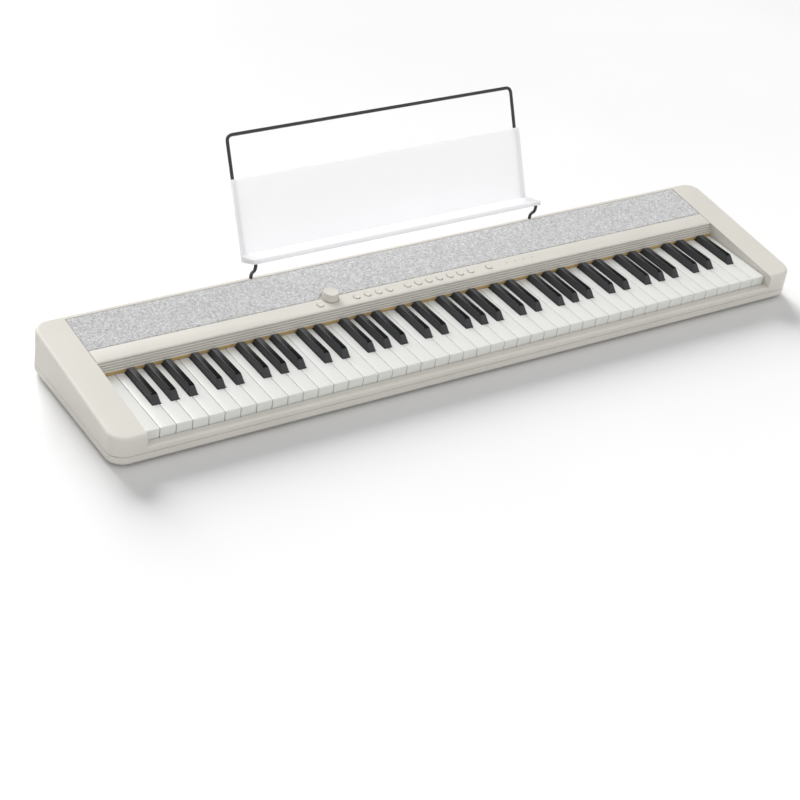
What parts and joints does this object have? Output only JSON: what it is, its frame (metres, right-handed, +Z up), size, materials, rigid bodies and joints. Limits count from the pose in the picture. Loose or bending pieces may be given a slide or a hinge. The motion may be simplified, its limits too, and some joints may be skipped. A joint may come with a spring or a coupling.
{
  "type": "digital piano",
  "caption": "Slim portable digital piano with hinged keys, push buttons, a volume knob and a lift-off wire music rest.",
  "frame": {"origin": "under the middle of the whole object, music rest included, on the surface that the feet stand on", "axes": "+X to the player's right along the keyboard, +Y away from the player, +Z up"},
  "size_m": [1.1534, 0.3528, 0.2454],
  "materials": {
    "case_plastic": "fine satin beige moulding",
    "rib_plastic": "satin beige moulding",
    "white_key_plastic": "semi-gloss white",
    "black_key_plastic": "fine-grained black",
    "inner_plastic": "plain dark grey",
    "speaker_fabric": "heathered light grey weave",
    "felt": "golden felt",
    "rest_sheet": "satin white",
    "rest_wire": "satin black",
    "foot_rubber": "matte dark grey",
    "circuit_board": "green solder mask",
    "speaker_metal": "dark grey",
    "socket_plastic": "black"
  },
  "bodies": {
    "black_keys_octave_1": {"black_keys_octave_1": "black_key_plastic"},
    "black_keys_octave_2": {"black_keys_octave_2": "black_key_plastic"},
    "black_keys_octave_3": {"black_keys_octave_3": "black_key_plastic"},
    "black_keys_octave_5": {"black_keys_octave_5": "black_key_plastic"},
    "black_keys_octave_6": {"black_keys_octave_6": "black_key_plastic"},
    "black_keys_octave_7": {"black_keys_octave_7": "black_key_plastic"},
    "key_a4": {"key_a4": "white_key_plastic"},
    "key_a_sharp4": {"key_a_sharp4": "black_key_plastic"},
    "key_b4": {"key_b4": "white_key_plastic"},
    "key_c4": {"key_c4": "white_key_plastic"},
    "key_c_sharp4": {"key_c_sharp4": "black_key_plastic"},
    "key_d4": {"key_d4": "white_key_plastic"},
    "key_d_sharp4": {"key_d_sharp4": "black_key_plastic"},
    "key_e4": {"key_e4": "white_key_plastic"},
    "key_f4": {"key_f4": "white_key_plastic"},
    "key_f_sharp4": {"key_f_sharp4": "black_key_plastic"},
    "key_g4": {"key_g4": "white_key_plastic"},
    "key_g_sharp4": {"key_g_sharp4": "black_key_plastic"},
    "white_keys_octave_1": {"white_keys_octave_1": "white_key_plastic"},
    "white_keys_octave_2": {"white_keys_octave_2": "white_key_plastic"},
    "white_keys_octave_3": {"white_keys_octave_3": "white_key_plastic"},
    "white_keys_octave_5": {"white_keys_octave_5": "white_key_plastic"},
    "white_keys_octave_6": {"white_keys_octave_6": "white_key_plastic"},
    "white_keys_octave_7": {"white_keys_octave_7": "white_key_plastic"},
    "function_button_1": {"function_button_1": "case_plastic"},
    "function_button_2": {"function_button_2": "case_plastic"},
    "function_button_3": {"function_button_3": "case_plastic"},
    "function_button_4": {"function_button_4": "case_plastic"},
    "power_button": {"power_button": "case_plastic"},
    "record_button": {"record_button": "case_plastic"},
    "tone_button_1": {"tone_button_1": "case_plastic"},
    "tone_button_2": {"tone_button_2": "case_plastic"},
    "tone_button_3": {"tone_button_3": "case_plastic"},
    "tone_button_4": {"tone_button_4": "case_plastic"},
    "tone_button_5": {"tone_button_5": "case_plastic"},
    "tone_button_6": {"tone_button_6": "case_plastic"},
    "tone_button_7": {"tone_button_7": "case_plastic"},
    "volume_knob": {"volume_knob": "case_plastic"},
    "battery_cover": {"battery_cover": "case_plastic"},
    "music_rest": {"music_rest_panel": "rest_sheet", "music_rest_wire": "rest_wire"},
    "root": {"contact_board": "circuit_board", "control_panel": "case_plastic", "felt_strip": "felt", "foot_front_left": "foot_rubber", "foot_front_right": "foot_rubber", "foot_rear_left": "foot_rubber", "foot_rear_right": "foot_rubber", "jack_block": "socket_plastic", "key_chassis": "inner_plastic", "left_speaker": "speaker_metal", "louvre_strip": "rib_plastic", "lower_case": "case_plastic", "main_board": "circuit_board", "power_inlet": "socket_plastic", "right_speaker": "speaker_metal", "speaker_baffle": "inner_plastic", "speaker_cloth": "speaker_fabric", "upper_case": "case_plastic"}
  },
  "joints": [
    {"name": "black_keys_octave_1_press", "type": "hinge", "parent": "root", "child": "black_keys_octave_1", "pos_m": [-0.45825, 0.01585, 0.0328], "axis": [1, 0, 0], "range_deg": [0, 3.22], "stiffness_Nm_per_rad": 1.8, "springref_deg": -14.32},
    {"name": "black_keys_octave_2_press", "type": "hinge", "parent": "root", "child": "black_keys_octave_2", "pos_m": [-0.32843, 0.01585, 0.0328], "axis": [1, 0, 0], "range_deg": [0, 3.22], "stiffness_Nm_per_rad": 1.8, "springref_deg": -14.32},
    {"name": "black_keys_octave_3_press", "type": "hinge", "parent": "root", "child": "black_keys_octave_3", "pos_m": [-0.16393, 0.01585, 0.0328], "axis": [1, 0, 0], "range_deg": [0, 3.22], "stiffness_Nm_per_rad": 1.8, "springref_deg": -14.32},
    {"name": "black_keys_octave_5_press", "type": "hinge", "parent": "root", "child": "black_keys_octave_5", "pos_m": [0.16506, 0.01585, 0.0328], "axis": [1, 0, 0], "range_deg": [0, 3.22], "stiffness_Nm_per_rad": 1.8, "springref_deg": -14.32},
    {"name": "black_keys_octave_6_press", "type": "hinge", "parent": "root", "child": "black_keys_octave_6", "pos_m": [0.32956, 0.01585, 0.0328], "axis": [1, 0, 0], "range_deg": [0, 3.22], "stiffness_Nm_per_rad": 1.8, "springref_deg": -14.32},
    {"name": "black_keys_octave_7_press", "type": "hinge", "parent": "root", "child": "black_keys_octave_7", "pos_m": [0.46716, 0.01585, 0.0328], "axis": [1, 0, 0], "range_deg": [0, 3.22], "stiffness_Nm_per_rad": 1.8, "springref_deg": -14.32},
    {"name": "key_a4_press", "type": "hinge", "parent": "root", "child": "key_a4", "pos_m": [0.047, 0.01585, 0.0328], "axis": [1, 0, 0], "range_deg": [0, 3.22], "stiffness_Nm_per_rad": 0.6, "springref_deg": -14.32},
    {"name": "key_a_sharp4_press", "type": "hinge", "parent": "root", "child": "key_a_sharp4", "pos_m": [0.06215, 0.01585, 0.0328], "axis": [1, 0, 0], "range_deg": [0, 3.22], "stiffness_Nm_per_rad": 0.3, "springref_deg": -14.32},
    {"name": "key_b4_press", "type": "hinge", "parent": "root", "child": "key_b4", "pos_m": [0.0705, 0.01585, 0.0328], "axis": [1, 0, 0], "range_deg": [0, 3.22], "stiffness_Nm_per_rad": 0.6, "springref_deg": -14.32},
    {"name": "key_c4_press", "type": "hinge", "parent": "root", "child": "key_c4", "pos_m": [-0.0705, 0.01585, 0.0328], "axis": [1, 0, 0], "range_deg": [0, 3.22], "stiffness_Nm_per_rad": 0.6, "springref_deg": -14.32},
    {"name": "key_c_sharp4_press", "type": "hinge", "parent": "root", "child": "key_c_sharp4", "pos_m": [-0.06102, 0.01585, 0.0328], "axis": [1, 0, 0], "range_deg": [0, 3.22], "stiffness_Nm_per_rad": 0.3, "springref_deg": -14.32},
    {"name": "key_d4_press", "type": "hinge", "parent": "root", "child": "key_d4", "pos_m": [-0.047, 0.01585, 0.0328], "axis": [1, 0, 0], "range_deg": [0, 3.22], "stiffness_Nm_per_rad": 0.6, "springref_deg": -14.32},
    {"name": "key_d_sharp4_press", "type": "hinge", "parent": "root", "child": "key_d_sharp4", "pos_m": [-0.03298, 0.01585, 0.0328], "axis": [1, 0, 0], "range_deg": [0, 3.22], "stiffness_Nm_per_rad": 0.3, "springref_deg": -14.32},
    {"name": "key_e4_press", "type": "hinge", "parent": "root", "child": "key_e4", "pos_m": [-0.0235, 0.01585, 0.0328], "axis": [1, 0, 0], "range_deg": [0, 3.22], "stiffness_Nm_per_rad": 0.6, "springref_deg": -14.32},
    {"name": "key_f4_press", "type": "hinge", "parent": "root", "child": "key_f4", "pos_m": [0, 0.01585, 0.0328], "axis": [1, 0, 0], "range_deg": [0, 3.22], "stiffness_Nm_per_rad": 0.6, "springref_deg": -14.32},
    {"name": "key_f_sharp4_press", "type": "hinge", "parent": "root", "child": "key_f_sharp4", "pos_m": [0.00835, 0.01585, 0.0328], "axis": [1, 0, 0], "range_deg": [0, 3.22], "stiffness_Nm_per_rad": 0.3, "springref_deg": -14.32},
    {"name": "key_g4_press", "type": "hinge", "parent": "root", "child": "key_g4", "pos_m": [0.0235, 0.01585, 0.0328], "axis": [1, 0, 0], "range_deg": [0, 3.22], "stiffness_Nm_per_rad": 0.6, "springref_deg": -14.32},
    {"name": "key_g_sharp4_press", "type": "hinge", "parent": "root", "child": "key_g_sharp4", "pos_m": [0.03525, 0.01585, 0.0328], "axis": [1, 0, 0], "range_deg": [0, 3.22], "stiffness_Nm_per_rad": 0.3, "springref_deg": -14.32},
    {"name": "white_keys_octave_1_press", "type": "hinge", "parent": "root", "child": "white_keys_octave_1", "pos_m": [-0.47, 0.01585, 0.0328], "axis": [1, 0, 0], "range_deg": [0, 3.22], "stiffness_Nm_per_rad": 4, "springref_deg": -14.32},
    {"name": "white_keys_octave_2_press", "type": "hinge", "parent": "root", "child": "white_keys_octave_2", "pos_m": [-0.329, 0.01585, 0.0328], "axis": [1, 0, 0], "range_deg": [0, 3.22], "stiffness_Nm_per_rad": 4, "springref_deg": -14.32},
    {"name": "white_keys_octave_3_press", "type": "hinge", "parent": "root", "child": "white_keys_octave_3", "pos_m": [-0.1645, 0.01585, 0.0328], "axis": [1, 0, 0], "range_deg": [0, 3.22], "stiffness_Nm_per_rad": 4, "springref_deg": -14.32},
    {"name": "white_keys_octave_5_press", "type": "hinge", "parent": "root", "child": "white_keys_octave_5", "pos_m": [0.1645, 0.01585, 0.0328], "axis": [1, 0, 0], "range_deg": [0, 3.22], "stiffness_Nm_per_rad": 4, "springref_deg": -14.32},
    {"name": "white_keys_octave_6_press", "type": "hinge", "parent": "root", "child": "white_keys_octave_6", "pos_m": [0.329, 0.01585, 0.0328], "axis": [1, 0, 0], "range_deg": [0, 3.22], "stiffness_Nm_per_rad": 4, "springref_deg": -14.32},
    {"name": "white_keys_octave_7_press", "type": "hinge", "parent": "root", "child": "white_keys_octave_7", "pos_m": [0.47, 0.01585, 0.0328], "axis": [1, 0, 0], "range_deg": [0, 3.22], "stiffness_Nm_per_rad": 4, "springref_deg": -14.32},
    {"name": "function_button_1_press", "type": "slide", "parent": "root", "child": "function_button_1", "axis": [0, 0.0936, -0.9956], "range_m": [0, 0.001], "stiffness_N_per_m": 250, "springref_m": -0.003},
    {"name": "function_button_2_press", "type": "slide", "parent": "root", "child": "function_button_2", "axis": [0, 0.0936, -0.9956], "range_m": [0, 0.001], "stiffness_N_per_m": 250, "springref_m": -0.003},
    {"name": "function_button_3_press", "type": "slide", "parent": "root", "child": "function_button_3", "axis": [0, 0.0936, -0.9956], "range_m": [0, 0.001], "stiffness_N_per_m": 250, "springref_m": -0.003},
    {"name": "function_button_4_press", "type": "slide", "parent": "root", "child": "function_button_4", "axis": [0, 0.0936, -0.9956], "range_m": [0, 0.001], "stiffness_N_per_m": 250, "springref_m": -0.003},
    {"name": "power_button_press", "type": "slide", "parent": "root", "child": "power_button", "axis": [0, 0.0936, -0.9956], "range_m": [0, 0.001], "stiffness_N_per_m": 250, "springref_m": -0.003},
    {"name": "record_button_press", "type": "slide", "parent": "root", "child": "record_button", "axis": [0, 0.0936, -0.9956], "range_m": [0, 0.001], "stiffness_N_per_m": 250, "springref_m": -0.003},
    {"name": "tone_button_1_press", "type": "slide", "parent": "root", "child": "tone_button_1", "axis": [0, 0.0936, -0.9956], "range_m": [0, 0.001], "stiffness_N_per_m": 250, "springref_m": -0.003},
    {"name": "tone_button_2_press", "type": "slide", "parent": "root", "child": "tone_button_2", "axis": [0, 0.0936, -0.9956], "range_m": [0, 0.001], "stiffness_N_per_m": 250, "springref_m": -0.003},
    {"name": "tone_button_3_press", "type": "slide", "parent": "root", "child": "tone_button_3", "axis": [0, 0.0936, -0.9956], "range_m": [0, 0.001], "stiffness_N_per_m": 250, "springref_m": -0.003},
    {"name": "tone_button_4_press", "type": "slide", "parent": "root", "child": "tone_button_4", "axis": [0, 0.0936, -0.9956], "range_m": [0, 0.001], "stiffness_N_per_m": 250, "springref_m": -0.003},
    {"name": "tone_button_5_press", "type": "slide", "parent": "root", "child": "tone_button_5", "axis": [0, 0.0936, -0.9956], "range_m": [0, 0.001], "stiffness_N_per_m": 250, "springref_m": -0.003},
    {"name": "tone_button_6_press", "type": "slide", "parent": "root", "child": "tone_button_6", "axis": [0, 0.0936, -0.9956], "range_m": [0, 0.001], "stiffness_N_per_m": 250, "springref_m": -0.003},
    {"name": "tone_button_7_press", "type": "slide", "parent": "root", "child": "tone_button_7", "axis": [0, 0.0936, -0.9956], "range_m": [0, 0.001], "stiffness_N_per_m": 250, "springref_m": -0.003},
    {"name": "volume_knob_turn", "type": "hinge", "parent": "root", "child": "volume_knob", "pos_m": [-0.1595, -0.00215, 0.06128], "axis": [0, -0.0936, 0.9956], "range_deg": [-140, 140]},
    {"name": "battery_cover_lift_off", "type": "slide", "parent": "root", "child": "battery_cover", "axis": [0, 0, -1], "range_m": [0, 0.02]},
    {"name": "music_rest_lift_out", "type": "slide", "parent": "root", "child": "music_rest", "axis": [0, 0, 1], "range_m": [0, 0.03]}
  ]
}
